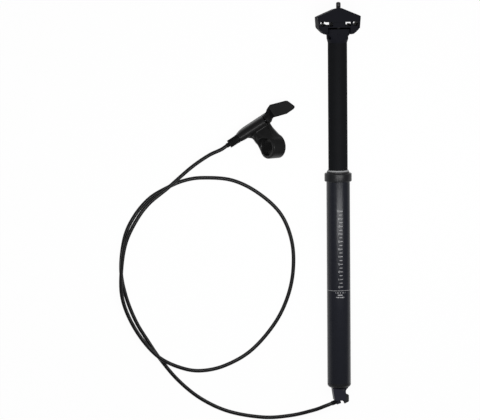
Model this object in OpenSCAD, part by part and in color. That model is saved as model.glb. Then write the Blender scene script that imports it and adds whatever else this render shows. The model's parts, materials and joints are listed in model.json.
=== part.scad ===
// Dropper seatpost with remote lever, lying as it is laid out on a table.
// The post runs along Y with its head at +Y, Z points up from the table.
// The origin is on the post's axis at the underside of the collar.

/* [Outer tube] */
// Diameter of the outer tube, which the bicycle frame clamps
tube_d = 30.9; // [30.4:0.1:34.9]
// Wall of the outer tube
tube_wall = 1.7; // [1.5:0.1:1.8]
// Length of the outer tube below the collar
tube_length = 267; // [262:1:320]
// Height of the turned neck that the collar screws on
neck_h = 7; // [6:0.5:8]
// Diameter of the collar
collar_d = 35.8; // [35:0.1:40]
// Height of the collar
collar_h = 11; // [10:0.5:14]
// Height of the wiper lip above the collar
lip_h = 4; // [3:0.5:5]

/* [Inner post] */
// Diameter of the sliding inner tube
stanchion_d = 25.4; // [25:0.1:25.8]
// Wall of the inner tube
stanchion_wall = 1.5; // [1.4:0.1:1.7]
// Length of the inner tube above the collar's underside, fully raised
exposed = 183; // [182:1:210]
// Length of the inner tube below the collar's underside, fully raised
overlap = 70; // [66:1:74]
// Drop of the saddle
travel = 165; // [100:5:165]
// Length of the upper guide bushing
bushing_length = 32; // [20:1:34]
// Diameter of an anti-rotation key
key_d = 2.2; // [2:0.1:2.3]

/* [Gas cartridge] */
// Diameter of the cartridge cylinder
cartridge_d = 19; // [18:0.5:20]
// Wall of the cartridge cylinder
cartridge_wall = 1.5; // [1.2:0.1:2]
// Diameter of the piston rod
rod_d = 8; // [7:0.5:9]
// Diameter of the release pin
pin_d = 3; // [2.5:0.1:3.5]

/* [Foot and actuator] */
// Width of the actuator housing under the tube
actuator_w = 17.4; // [17:0.2:19]
// Height of the actuator housing
actuator_h = 17; // [16:0.5:18]
// Depth of the actuator housing
actuator_depth = 14; // [12:0.5:14.5]
// Thickness of the crank
crank_t = 4.6; // [4:0.1:5.2]
// Angle of the wire below the horizontal where it leaves the actuator
wire_angle = 20; // [18:1:22]

/* [Saddle clamp] */
// Diameter of a saddle rail
rail_d = 7; // [6.5:0.1:7.5]
// Distance between the saddle rails
rail_spacing = 43; // [42.5:0.5:44]
// Thickness of the upper clamp's lip outside each rail
lip_t = 3.3; // [3:0.1:4.5]
// Height of the rail axis above the inner tube's top
rail_rise = 26; // [25:0.5:28]
// Gap between the upper clamp and the lower cradle
clamp_gap = 4.2; // [3.4:0.1:4.8]
// Radius of the rocking seat under the lower cradle
rocker_r = 11; // [10.5:0.1:11.2]
// Diameter of a clamp stud
bolt_d = 6; // [5:0.5:6.5]
// Distance of each clamp stud from the post's axis
bolt_offset = 9; // [8.8:0.1:9.2]
// Tilt of the saddle clamp each way, degrees
tilt = 5; // [3:0.5:5]

/* [Remote] */
// Diameter of the handlebar
bar_d = 22.2; // [22:0.1:22.4]
// Wall of the handlebar ring
ring_wall = 4.6; // [4.4:0.1:5.2]
// Width of the handlebar ring
ring_w = 20; // [18:0.5:21]
// Angle of the handlebar's axis to the vertical as the remote lies
bar_lean = 62; // [60:1:64]
// Length of the thumb paddle from its pivot
paddle_length = 40; // [36:1:44]
// Thickness of the thumb paddle
paddle_t = 4.5; // [4:0.1:5.5]
// Diameter of the lever's pivot bolt
pivot_d = 4; // [3.5:0.1:4.5]
// Distance of the wire from the lever's pivot
lever_arm = 7.5; // [7:0.1:8]
// Diameter of the barrel adjuster's knob
barrel_d = 10.8; // [10:0.1:12]

/* [Cable] */
// Diameter of the cable housing
cable_d = 5; // [4.8:0.1:5.2]
// Diameter of the inner wire
wire_d = 1.2; // [1.1:0.1:1.6]

/* [Hidden] */
$fn = 96;

// Clearances and small margins
running = 0.04;
seated = 0.02;
loose = 0.3;
past = 1;
edge = 0.8;

// Outer tube, collar and seal
tube_r = tube_d / 2;
bore_r = tube_r - tube_wall;
stanchion_r = stanchion_d / 2;
stanchion_bore_r = stanchion_r - stanchion_wall;
neck_r = (tube_r + bore_r) / 2 + 0.3;
collar_r = collar_d / 2;
table_z = -collar_r;
seal_flange_r = neck_r - 0.3;
seal_flange_h = 2;
seal_neck_r = seal_flange_r - 0.6;
lip_r = seal_neck_r + 0.8;

// Inner post and keys
key_r = key_d / 2;
key_length = 12;
key_count = 3;
key_place_r = stanchion_r + (bore_r - stanchion_r) * 0.3;
key_y = -overlap + 16;
lower_bushing_y = -overlap + 2;
lower_bushing_length = 12;
groove_top = -bushing_length + neck_h - past;

// Cartridge: the gland closes the inner post, the rod stands on the bottom plug
cartridge_r = cartridge_d / 2;
cartridge_bore_r = cartridge_r - cartridge_wall;
rod_r = rod_d / 2;
pin_r = pin_d / 2;
gland_flange_h = 4;
gland_mid_h = 6;
gland_top_h = 6;
cartridge_y = -overlap + gland_mid_h;
piston_y = cartridge_y + gland_top_h + 3;
piston_h = 12;
top_gap = 8;
cartridge_roof = 5;
cartridge_top = piston_y + piston_h + travel + top_gap + cartridge_roof;

// Bottom plug and rod seat
plug_y = -tube_length;
plug_flange_h = 6;
plug_spigot_h = 12;
plug_foot_r = 9.8;
plug_top = plug_y + plug_spigot_h;
plug_bottom = plug_y - plug_flange_h;
rod_seat_h = 9;
rod_bottom = plug_top - rod_seat_h;
jam_nut_h = 5;
jam_nut_r = rod_r + 3.5;
recess_h = 3;
recess_w = 7;

// Crank: the nose pushes the release pin, the arm carries the wire anchor
crank_x = 4.6;
crank_y = plug_bottom - 3;
crank_arm = 12;
crank_hub_r = 2.7;
crank_pin_r = 1.4;
nose_r = 1.6;
crank_arm_r = 5.5;
crank_side = 0.6;
web = 0.9;
crank_slot = crank_t + 2 * crank_side;
anchor_x = crank_x + crank_arm * sin(wire_angle);
anchor_y = crank_y - crank_arm * cos(wire_angle);
anchor_nut_r = 2.5;
set_screw_r = 1.25;
slot_left = -3.4;
slot_step = plug_bottom - 7;
pin_bottom = crank_y + nose_r + 0.2;
body_right = 7.8;
body_taper = 2.5;
gusset = 3.4;
pin_length = 38;
pin_lift = 3;

// Ferrules: a cup over the end of the cable housing
cable_r = cable_d / 2;
wire_r = wire_d / 2;
ferrule_wall = 0.5;
ferrule_r = cable_r + ferrule_wall;
ferrule_length = 11;
ferrule_floor = 2;
ferrule_start = crank_arm_r + 3.4;
ferrule_boss_r = ferrule_r + 1.1;
ferrule_boss_length = 5.5;
socket_start = ferrule_start - 0.5;
wire_gap = 0.4;

// Saddle clamp, measured from the rail axis
rail_h = exposed + rail_rise;
rail_r = rail_d / 2;
rail_x = rail_spacing / 2;
half_gap = clamp_gap / 2;
clamp_depth = collar_d;
cradle_depth = clamp_depth - 3.8;
cradle_plate = 3.3;
back_cut = 5;
front_cut = 2.4;
ear_drop = 14;
boss_half_w = 8.4;
window_low = -3.6;
window_out = 15.4;
tooth_depth = 5;
lip_x = rail_x + rail_r + loose;
clamp_half_w = lip_x + lip_t;
lip_low = -6.4;
lip_end = 1.8;
ear_low = 11;
gable_h = 20.5;
gable_end_h = 10;
peak_half_w = 3;
gable_fall = 6;
head_half_w = 14.4;
head_depth = 34;
seat_gap = 0.1;
prong_top = -half_gap - cradle_plate - 2.1;
bolt_r = bolt_d / 2;
barrel_nut_r = 3.8;
barrel_nut_y = -16;
barrel_nut_length = 14;
barrel_swing = -barrel_nut_y * sin(tilt) + loose;
stud_foot = barrel_nut_y - barrel_nut_r / 2;
washer_r = bolt_r + 2;
washer_y = 12;
washer_length = 12;
nut_h = 5;
nut_r = bolt_r + 2.6;
front_tip = 28;
rear_tip = 17.6;
spigot_length = 18;
flare_h = 12;
head_round = 4;

// Remote: its frame has the pivot at the origin, the wire along -X and the hinge along Y
lever_turn = 32;
pivot = [-93.2, 83.8, -9];
ring_r = bar_d / 2 + ring_wall;
ring_rise = ring_r * sin(bar_lean) + ring_w / 2 * cos(bar_lean);
ring_c = [-86.8, 47.8, table_z + ring_rise];
fork_half = 4.2;
cheek_t = 2.6;
cheek_out = fork_half + cheek_t;
arm_half = cheek_out + edge / 2;
arm_end_half = 5.4;
arm_taper = 9;
yoke_r = 5;
yoke_start = 20;
cheek_r = 4.8;
block_left = -46;
block_low = -7.5;
fork_floor = -5;
bracket_low = -6;
bracket_high = 7;
block_high = lever_arm + 6;
hub_r = 4;
block_right = -hub_r - 0.4;
floor_right = 6.6;
pivot_r = pivot_d / 2;
bushing_t = 0.6;
horn_half = 3.5;
spring_side = 0.2;
horn_top = lever_arm + 3.4;
head_nipple_r = 2.2;
paddle_start = 5.9;
hood_low = cheek_r + 0.7;
hood_high = block_high - 0.7;
hood_left = -horn_half + 0.1;
hood_right = 10.6;
hood_side = [[hood_left, hood_low], [1.9, hood_low], [4.5, 3.3], [hood_low, 1.6], [hood_low, 0.7],
    [hood_right - 2, 0.4], [hood_right, 2.6], [hood_right - 1, 4.6], [horn_half + 1, horn_top],
    [0.5, hood_high - 0.3],
    [hood_left, hood_high]];
hood_plan = [[hood_left, -4.1], [hood_left, cheek_out], [-1, cheek_out + 0.2], [hood_right + 0.4, 12.5],
    [hood_right + 0.4, -2.6], [5, -3.3]];
hood_section = [[-4.6, -cheek_r], [14, -cheek_r], [14, 4.6], [cheek_out, lever_arm], [5.6, 10.2], [2.8, 12.2],
    [0, block_high], [-2.8, 12.2], [-4.6, 11]];
paddle_rise = 12;
lock_nut_t = 2.2;
barrel_r = barrel_d / 2;
barrel_length = 12;
barrel_thread_r = ferrule_r + 0.9;
barrel_thread_length = 9;
barrel_right = block_left - lock_nut_t - 2 * seated;
barrel_left = barrel_right - barrel_length;
ferrule_socket = 7;
ferrule_right = barrel_left + ferrule_socket;
lug_turn = -14;
lug_half = 6.5;
lug_w = 10;
lug_wall = 1.2;
lug_bolt_r = 2;
lug_x = -(bar_d / 2 + lug_bolt_r + 0.6);
lug_head_r = 3.4;
lug_head_h = 3.2;
slit = 0.6;
pivot_head_r = pivot_r + 1.4;
pivot_head_h = 1.4;
arm_outline = [[block_left, lever_arm - 6], [block_left, lever_arm + 6], [block_left + 6, block_high],
    [block_right - 2, block_high], [block_right, block_high - edge], [block_right, cheek_r], [0, cheek_r],
    [cheek_r * 0.55, cheek_r * 0.83], [cheek_r, edge], [cheek_r, fork_floor + floor_right - cheek_r],
    [floor_right, fork_floor],
    [floor_right, block_low], [block_left + 14, block_low]];
bracket_outline = [[block_left, 2], [block_left + 1.4, -3.7], [block_left + 7, -5.3],
    [block_left + 11.5, -7.4],
    [block_left + 14.5, -9.8], [-29.8, -12], [-29.4, -14.5], [-29.2, -21], [-13, -30], [3, -34], [2.6, -29],
    [2.2, -23.5], [0.3, -12.8], [0.3, -4], [-4, 2]];

// Return spring round the lever's hub
spring_wire_r = 0.35;
spring_r = 3.5;
spring_pitch = 1.2;
spring_turns = 2.5;
spring_sides = 6;
spring_rings = 8;

// Route of the cable: first pass over the top, the loop, the second pass on the table, the end at the foot
low = table_z + cable_r;
high = low + cable_d + 0.6;
route_middle = [
    [-172, 37, -4], [-195, 21, -7], [-225, -5, high], [-250, -25, high], [-267, -47, high], [-281, -76, high],
    [-287, -110, high], [-287, -145, high], [-277, -176, high], [-259, -206, high], [-237, -229, high],
    [-209, -243, high - 3], [-182, -248, low], [-150, -242, low], [-115, -223, low], [-84, -189, low],
    [-66, -154, low], [-58, -117, low], [-60, -78, low], [-75, -42, low], [-105, -14, low], [-139, 3, low],
    [-177, 7, low], [-202, 4, low], [-225, -5, low], [-249, -19, low], [-269, -42, low], [-282, -70, low],
    [-287, -111, low], [-281, -146, low], [-268, -180, low], [-252, -207, low], [-236, -231, low],
    [-212, -260, low], [-182, -285, low], [-145, -303, low], [-99, -312, low], [-63, -310, -11],
    [-34, -303, -4]];
remote_dir = [cos(lever_turn), sin(lever_turn), 0];
foot_dir = [-cos(wire_angle), -sin(wire_angle), 0];
foot_side = [sin(wire_angle), -cos(wire_angle), 0];
anchor = [anchor_x, anchor_y, 0];
cable_start = ferrule_right - ferrule_floor - wire_gap;
cable_end = ferrule_start + ferrule_floor + wire_gap;
route = concat(
    [for (x = [0, 9, 18]) pivot + (cable_start - x) * remote_dir + [0, 0, lever_arm]],
    route_middle,
    [for (t = [18, 9, 0]) anchor + (cable_end + t) * foot_dir]);
cable_sides = 10;
cable_steps = 2;

// Vector helpers and a smooth curve through the route's points
function unit(v) = v / norm(v);
function clamp_index(i, n) = max(0, min(n - 1, i));
function curve_point(p, i, t) =
    let (n = len(p), a = p[clamp_index(i - 1, n)], b = p[i], c = p[clamp_index(i + 1, n)],
        d = p[clamp_index(i + 2, n)])
    0.5 * (2 * b + (c - a) * t + (2 * a - 5 * b + 4 * c - d) * t * t + (3 * b - a - 3 * c + d) * t * t * t);
function smooth_path(p, steps) = concat(
    [for (i = [0 : len(p) - 2]) for (k = [0 : steps - 1]) curve_point(p, i, k / steps)], [p[len(p) - 1]]);
function tangent(p, i) = unit(p[clamp_index(i + 1, len(p))] - p[clamp_index(i - 1, len(p))]);
function ring_points(p, i, r, sides, up) =
    let (t = tangent(p, i), side = unit(cross(t, up)), top = cross(side, t))
    [for (k = [0 : sides - 1]) p[i] + r * (cos(360 * k / sides) * side + sin(360 * k / sides) * top)];
function wall_faces(rings, sides) = [for (i = [0 : rings - 2]) for (k = [0 : sides - 1])
    let (a = i * sides + k, b = i * sides + (k + 1) % sides, c = a + sides, d = b + sides)
    each [[a, b, d], [a, d, c]]];
function cap_faces(rings, sides) = [for (k = [1 : sides - 2])
    let (e = (rings - 1) * sides) each [[0, k + 1, k], [e, e + k, e + k + 1]]];
function path_gap(p, r, apart) = min([for (i = [0 : len(p) - 2]) for (j = [i + apart : 1 : len(p) - 1])
    norm(p[i] - p[j])]) - 2 * r;
function path_length(p) = [for (i = [1 : len(p) - 1]) norm(p[i] - p[i - 1])] * [for (i = [1 : len(p) - 1]) 1];

module swept_tube(p, r, sides, up) {
    points = [for (i = [0 : len(p) - 1]) each ring_points(p, i, r, sides, up)];
    polyhedron(points, concat(wall_faces(len(p), sides), cap_faces(len(p), sides)));
}

// Round bars along each axis
module bar_y(r, from, to) {
    translate([0, from, 0]) rotate([-90, 0, 0]) cylinder(h = to - from, r = r);
}

module bar_x(r, from, to) {
    translate([from, 0, 0]) rotate([0, 90, 0]) cylinder(h = to - from, r = r);
}

module sleeve_y(r, bore, from, to) {
    difference() {
        bar_y(r, from, to);
        bar_y(bore, from - past, to + past);
    }
}

module turned_y(profile) {
    rotate([-90, 0, 0]) rotate_extrude() polygon(profile);
}

module block(low, high) {
    translate(low) cube(high - low);
}

// Places: at the wire anchor with X along the wire, at the rail axis, at the remote's pivot, at the
// handlebar ring
module at_anchor() {
    translate(anchor) rotate([0, 0, 180 + wire_angle]) children();
}

module at_rails() {
    translate([0, rail_h, 0]) children();
}

module at_remote() {
    translate(pivot) rotate([0, 0, lever_turn]) children();
}

module at_ring() {
    translate(ring_c) rotate([0, -bar_lean, 0]) children();
}

module at_lug() {
    at_ring() rotate([0, 0, lug_turn]) children();
}

module around_keys() {
    for (i = [0 : key_count - 1]) rotate([0, 360 / key_count * i, 0]) translate([key_place_r, 0, 0])
        children();
}

module both_studs() {
    for (z = [-bolt_offset, bolt_offset]) translate([0, 0, z]) children();
}

module both_sides() {
    for (s = [0, 1]) mirror([s, 0, 0]) children();
}

// Outer tube with its neck for the collar and the key grooves in its bore
module outer_tube() {
    color("#1b1d22") difference() {
        union() {
            bar_y(tube_r, -tube_length, 0);
            bar_y(neck_r, -past, neck_h);
        }
        bar_y(bore_r, -tube_length - past, neck_h + past);
        around_keys() bar_y(key_r + running, plug_top, groove_top);
    }
}

module tube_collar() {
    bore = neck_r + seated;
    top_bore = seal_neck_r + seated;
    step_y = neck_h + seal_flange_h + seated;
    color("#16171a") turned_y([[bore, 0], [collar_r - edge, 0], [collar_r, edge], [collar_r, collar_h - edge],
        [collar_r - edge, collar_h], [top_bore, collar_h], [top_bore, step_y], [bore, step_y]]);
}

module wiper_seal() {
    bore = stanchion_r + running;
    color("#3a3c40") turned_y([[bore, neck_h], [seal_flange_r, neck_h],
        [seal_flange_r, neck_h + seal_flange_h],
        [seal_neck_r, neck_h + seal_flange_h], [seal_neck_r, collar_h], [lip_r, collar_h + seated],
        [lip_r, collar_h + lip_h * 0.45], [bore + edge, collar_h + lip_h], [bore, collar_h + lip_h]]);
}

module upper_bushing() {
    color("#c9b98a") sleeve_y(bore_r - seated, stanchion_r + running, neck_h - bushing_length,
        neck_h - seated);
}

// Inner tube with the pockets of the keys
module stanchion() {
    color("#0e0f11") difference() {
        sleeve_y(stanchion_r, stanchion_bore_r, -overlap, exposed);
        around_keys() bar_y(key_r, key_y - seated, key_y + key_length + seated);
    }
}

module lower_bushing() {
    color("#c9b98a") sleeve_y(bore_r - running, stanchion_r + seated, lower_bushing_y,
        lower_bushing_y + lower_bushing_length);
}

module anti_rotation_keys() {
    color("goldenrod") around_keys() bar_y(key_r - seated, key_y, key_y + key_length);
}

// Forged head: round neck that swells into a block with the rocking seat, cross bores for the barrel nuts
module post_head() {
    block_y = exposed + flare_h;
    top_y = rail_h + prong_top;
    stud_slot = bolt_r + loose;
    corner_x = head_half_w - head_round;
    corner_z = head_depth / 2 - head_round;
    color("#202226") difference() {
        union() {
            bar_y(stanchion_bore_r - seated, exposed - spigot_length, exposed + past);
            hull() {
                bar_y(stanchion_r, exposed + seated, exposed + past, $fn = 48);
                for (x = [-corner_x, corner_x], z = [-corner_z, corner_z]) translate([x, 0, z])
                    bar_y(head_round, block_y, top_y, $fn = 32);
            }
        }
        at_rails() {
            bar_x(rocker_r + seat_gap, -head_half_w - past, head_half_w + past);
            both_studs() {
                translate([0, barrel_nut_y, 0])
                    bar_x(barrel_nut_r + barrel_swing, -2 * head_half_w, 2 * head_half_w);
                block([-stud_slot, barrel_nut_y, -stud_slot - barrel_swing],
                    [stud_slot, 0, stud_slot + barrel_swing]);
            }
        }
    }
}

// Plan of the clamp with its corners cut, more at the back than at the front
module clamp_plan() {
    back = -clamp_depth / 2 - edge / 2;
    front = clamp_depth / 2 + edge / 2;
    out = clamp_half_w + edge / 2;
    rotate([90, 0, 0]) linear_extrude(4 * gable_h, center = true) polygon([[-out + back_cut, back],
        [out - back_cut, back], [out, back + 2 * back_cut],
        [out, front - front_cut], [out - front_cut, front],
        [-out + front_cut, front], [-out, front - front_cut], [-out, back + 2 * back_cut]]);
}

module rail_grooves() {
    both_sides() translate([rail_x, 0, 0]) cylinder(h = clamp_depth + past, r = rail_r, center = true);
}

// Lower cradle: rocking seat, plate with the centre boss, and two ears under the rails
module lower_cradle() {
    top = -half_gap;
    plate_y = top - cradle_plate;
    ear_in = head_half_w + 0.6;
    depth_low = cradle_depth * 0.7;
    color("#202226") at_rails() difference() {
        union() {
            intersection() {
                bar_x(rocker_r, -head_half_w, head_half_w);
                block([-head_half_w, -rocker_r - past, -rocker_r], [head_half_w, top, rocker_r]);
            }
            block([-ear_in - past, plate_y, -cradle_depth / 2], [ear_in + past, top, cradle_depth / 2]);
            block([-boss_half_w, plate_y, -cradle_depth / 2],
                [boss_half_w, half_gap - loose, cradle_depth / 2]);
            both_sides() intersection() {
                linear_extrude(cradle_depth, center = true) polygon([[ear_in, top], [ear_in, -ear_drop],
                    [ear_in + edge, -ear_drop - edge], [rail_x - 1.5, -ear_drop], [rail_x + 1.2, -ear_low],
                    [lip_x + lip_end / 2, lip_low - loose - edge], [lip_x + lip_end / 2, lip_low - loose],
                    [lip_x - loose, lip_low - loose], [lip_x - loose, top]]);
                rotate([0, -90, 0]) linear_extrude(4 * clamp_half_w, center = true)
                    polygon([[-cradle_depth / 2, top],
                    [-cradle_depth / 2, -ear_low], [-depth_low / 2, -ear_drop - past],
                    [depth_low / 2, -ear_drop - past],
                    [cradle_depth / 2, -ear_low], [cradle_depth / 2, top]]);
                clamp_plan();
            }
        }
        rail_grooves();
        both_sides() block([boss_half_w, window_low, -clamp_depth], [window_out, half_gap, clamp_depth]);
        both_studs() bar_y(bolt_r + loose, -rocker_r - past, half_gap + past);
    }
}

// Upper clamp with its gable top that falls to the back, two teeth that key it to the cradle, and the
// pockets of the nuts and their half-round washers
module upper_clamp() {
    pocket_x = washer_length / 2 + loose;
    pocket_z = washer_r + seated;
    color("#202226") at_rails() difference() {
        union() {
            intersection() {
                linear_extrude(clamp_depth, center = true) polygon([[-lip_x, half_gap], [lip_x, half_gap],
                    [lip_x, lip_low], [lip_x + lip_end, lip_low], [clamp_half_w, gable_end_h - edge],
                    [clamp_half_w - edge, gable_end_h], [peak_half_w, gable_h], [-peak_half_w, gable_h],
                    [-clamp_half_w + edge, gable_end_h], [-clamp_half_w, gable_end_h - edge],
                    [-lip_x - lip_end, lip_low], [-lip_x, lip_low]]);
                translate([0, -clamp_depth / 2 * sin(gable_fall), 0]) rotate([-gable_fall, 0, 0])
                    linear_extrude(2 * clamp_depth, center = true) polygon([[2 * clamp_half_w, -gable_h],
                    [2 * clamp_half_w, gable_end_h - edge], [clamp_half_w, gable_end_h - edge],
                    [clamp_half_w - edge, gable_end_h], [peak_half_w, gable_h], [-peak_half_w, gable_h],
                    [-clamp_half_w + edge, gable_end_h], [-clamp_half_w, gable_end_h - edge],
                    [-2 * clamp_half_w, gable_end_h - edge], [-2 * clamp_half_w, -gable_h]]);
                clamp_plan();
            }
            for (a = [0, 180]) rotate([0, a, 0])
                block([window_out, -half_gap + loose, clamp_depth / 2 - tooth_depth],
                [rail_x, half_gap + past, clamp_depth / 2 - edge]);
        }
        rail_grooves();
        both_studs() {
            bar_y(bolt_r + loose, 0, gable_h);
            translate([0, washer_y, 0]) bar_x(pocket_z, -pocket_x, pocket_x);
            block([-pocket_x, washer_y, -pocket_z - loose], [pocket_x, gable_h + past, pocket_z + loose]);
        }
    }
}

// Studs with domed tips; the front one stands out of the gable
module clamp_studs() {
    color("#2b2d31") at_rails() for (s = [-1, 1]) translate([0, 0, s * bolt_offset])
        turned_y(stud_profile(s > 0 ? front_tip : rear_tip));
}

function stud_profile(tip) = concat([[0, stud_foot], [bolt_r, stud_foot]],
    [for (a = [0 : 15 : 75]) [bolt_r * cos(a), tip - bolt_r * 0.6 * (1 - sin(a))]], [[0, tip]]);

module clamp_nuts() {
    color("silver") at_rails() both_studs() difference() {
        translate([0, washer_y + seated, 0]) rotate([-90, 0, 0]) cylinder(h = nut_h, r = nut_r, $fn = 6);
        bar_y(bolt_r + seated, washer_y - past, washer_y + nut_h + past);
    }
}

module nut_washers() {
    color("silver") at_rails() both_studs() difference() {
        translate([0, washer_y, 0]) bar_x(washer_r, -washer_length / 2, washer_length / 2);
        block([-washer_length, washer_y, -2 * washer_r],
            [washer_length, washer_y + 2 * washer_r, 2 * washer_r]);
        bar_y(bolt_r + seated, 0, washer_y + past);
    }
}

module barrel_nuts() {
    color("silver") at_rails() both_studs() difference() {
        translate([0, barrel_nut_y, 0]) bar_x(barrel_nut_r, -barrel_nut_length / 2, barrel_nut_length / 2);
        bar_y(bolt_r + seated, stud_foot - seated, 0);
    }
}

// Gas cartridge: cylinder and gland move with the inner post, rod and piston stand still
module cartridge_cylinder() {
    color("silver") difference() {
        bar_y(cartridge_r, cartridge_y, cartridge_top);
        bar_y(cartridge_bore_r, cartridge_y - past, cartridge_top - cartridge_roof);
    }
}

module cartridge_gland() {
    color("#2b2d31") difference() {
        union() {
            bar_y(stanchion_r, -overlap - gland_flange_h, -overlap - seated);
            bar_y(stanchion_bore_r - seated, -overlap - past, cartridge_y - seated);
            bar_y(cartridge_bore_r - seated, cartridge_y - past, cartridge_y + gland_top_h);
        }
        bar_y(rod_r + running, -overlap - gland_flange_h - past, cartridge_y + gland_top_h + past);
    }
}

module piston_rod() {
    color("gainsboro") difference() {
        bar_y(rod_r, rod_bottom, piston_y + piston_h - past);
        bar_y(pin_r + running, rod_bottom - past, pin_bottom + pin_length + pin_lift);
    }
}

module piston_head() {
    color("#2b2d31") difference() {
        bar_y(cartridge_bore_r - running, piston_y, piston_y + piston_h);
        bar_y(rod_r + seated, piston_y - past, piston_y + piston_h - past + seated);
    }
}

module release_pin() {
    color("gainsboro") bar_y(pin_r, pin_bottom, pin_bottom + pin_length);
}

// Bottom plug: spigot in the tube, rounded flange, seat of the rod, recess for the crank's nose
module bottom_plug() {
    spigot_r = bore_r - seated;
    round_w = tube_r - plug_foot_r;
    color("#16171a") difference() {
        turned_y(concat([[0, plug_bottom]],
            [for (a = [-90 : 15 : -15]) [plug_foot_r + round_w * cos(a),
            plug_y - edge + (plug_flange_h - edge) * sin(a)]],
            [[tube_r, plug_y - edge], [tube_r, plug_y - seated], [spigot_r, plug_y - seated],
            [spigot_r, plug_top],
            [0, plug_top]]));
        bar_y(rod_r + seated, rod_bottom - seated, plug_top + past);
        bar_y(pin_r + running, plug_bottom - past, rod_bottom + past);
        block([-recess_w / 2, plug_bottom - past, -crank_slot / 2], [recess_w / 2, plug_bottom + recess_h,
            crank_slot / 2]);
    }
}

module rod_jam_nut() {
    color("silver") difference() {
        translate([0, plug_top + seated, 0]) rotate([-90, 0, 0])
            cylinder(h = jam_nut_h, r = jam_nut_r, $fn = 6);
        bar_y(rod_r + seated, plug_top - past, plug_top + jam_nut_h + past);
    }
}

// Actuator housing: two cheeks, open to the right for the crank, and a socket that holds the cable's ferrule
module actuator_housing() {
    left = body_right - actuator_w;
    top = plug_bottom - seated;
    bottom = plug_bottom - actuator_h;
    reach = anchor_x + 2 * crank_arm_r;
    wall_top = anchor + socket_start * foot_dir - crank_arm * foot_side / 2;
    wall_foot = anchor + socket_start * foot_dir + crank_arm * foot_side / 2;
    color("#1b1d22") difference() {
        union() {
            linear_extrude(actuator_depth, center = true) polygon([[left, top],
                [left + body_taper, bottom + edge],
                [left + 2 * body_taper, bottom], [body_right - edge, bottom], [body_right, bottom + edge],
                [body_right, top - gusset], [body_right + gusset / 2, top - gusset / 3],
                [body_right + gusset, top]]);
            at_anchor() bar_x(ferrule_boss_r, socket_start, socket_start + ferrule_boss_length);
        }
        linear_extrude(crank_slot, center = true) polygon([[slot_left, top + past], [slot_left, slot_step],
            [wall_top.x, wall_top.y], [wall_foot.x, wall_foot.y], [reach, wall_foot.y], [reach, top + past]]);
        at_anchor() bar_x(ferrule_r + seated, ferrule_start - seated, ferrule_start + ferrule_length + past);
        at_anchor() bar_x(wire_r + loose, 0, ferrule_start + past);
        translate([crank_x, crank_y, 0])
            cylinder(h = actuator_depth + past, r = crank_pin_r + seated, center = true);
    }
}

module actuator_crank() {
    color("silver") difference() {
        linear_extrude(crank_t, center = true) {
            translate([crank_x, crank_y]) circle(crank_hub_r);
            translate([0, crank_y]) circle(nose_r);
            translate([0, crank_y - nose_r * web]) square([crank_x, 2 * nose_r * web]);
            translate([anchor_x, anchor_y]) circle(crank_arm_r);
            translate([crank_x, crank_y]) rotate(wire_angle) translate([-crank_hub_r * web, -crank_arm])
                square([2 * crank_hub_r * web, crank_arm]);
        }
        translate([crank_x, crank_y, 0])
            cylinder(h = crank_t + past, r = crank_pin_r + running, center = true);
        translate(anchor) cylinder(h = crank_t + past, r = anchor_nut_r + seated, center = true);
        translate(anchor) rotate([0, 0, wire_angle]) bar_y(set_screw_r + seated, -crank_arm_r - past, 0);
    }
}

module crank_pivot_pin() {
    color("gainsboro") translate([crank_x, crank_y, 0])
        cylinder(h = actuator_depth, r = crank_pin_r, center = true);
}

module wire_anchor_nut() {
    color("goldenrod") difference() {
        translate(anchor) cylinder(h = crank_t + 2 * loose, r = anchor_nut_r, center = true);
        translate(anchor) rotate([0, 0, wire_angle]) bar_y(set_screw_r + seated, -crank_arm_r - past, 0);
    }
}

module anchor_set_screw() {
    color("#2b2d31") translate(anchor) rotate([0, 0, wire_angle]) bar_y(set_screw_r, -crank_arm_r, -seated);
}

module ferrule() {
    difference() {
        bar_x(ferrule_r, 0, ferrule_length);
        bar_x(cable_r + seated, ferrule_floor, ferrule_length + past);
        bar_x(wire_r + loose, -past, ferrule_floor + past);
    }
}

module post_ferrule() {
    color("#2b2d31") at_anchor() translate([ferrule_start, 0, 0]) ferrule();
}

module remote_ferrule() {
    color("#2b2d31") at_remote() translate([ferrule_right, 0, lever_arm]) mirror([1, 0, 0]) ferrule();
}

module wire_end_post() {
    color("gainsboro") at_anchor() bar_x(wire_r, crank_arm_r + wire_gap, ferrule_start - wire_gap);
}

module wire_end_remote() {
    color("gainsboro") at_remote() translate([0, 0, lever_arm])
        bar_x(wire_r, ferrule_right + wire_gap, -horn_half - wire_gap);
}

module wire_head() {
    color("silver") at_remote() translate([0, 0, lever_arm])
        bar_y(head_nipple_r, -fork_half + 0.6, fork_half - 0.6);
}

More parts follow.
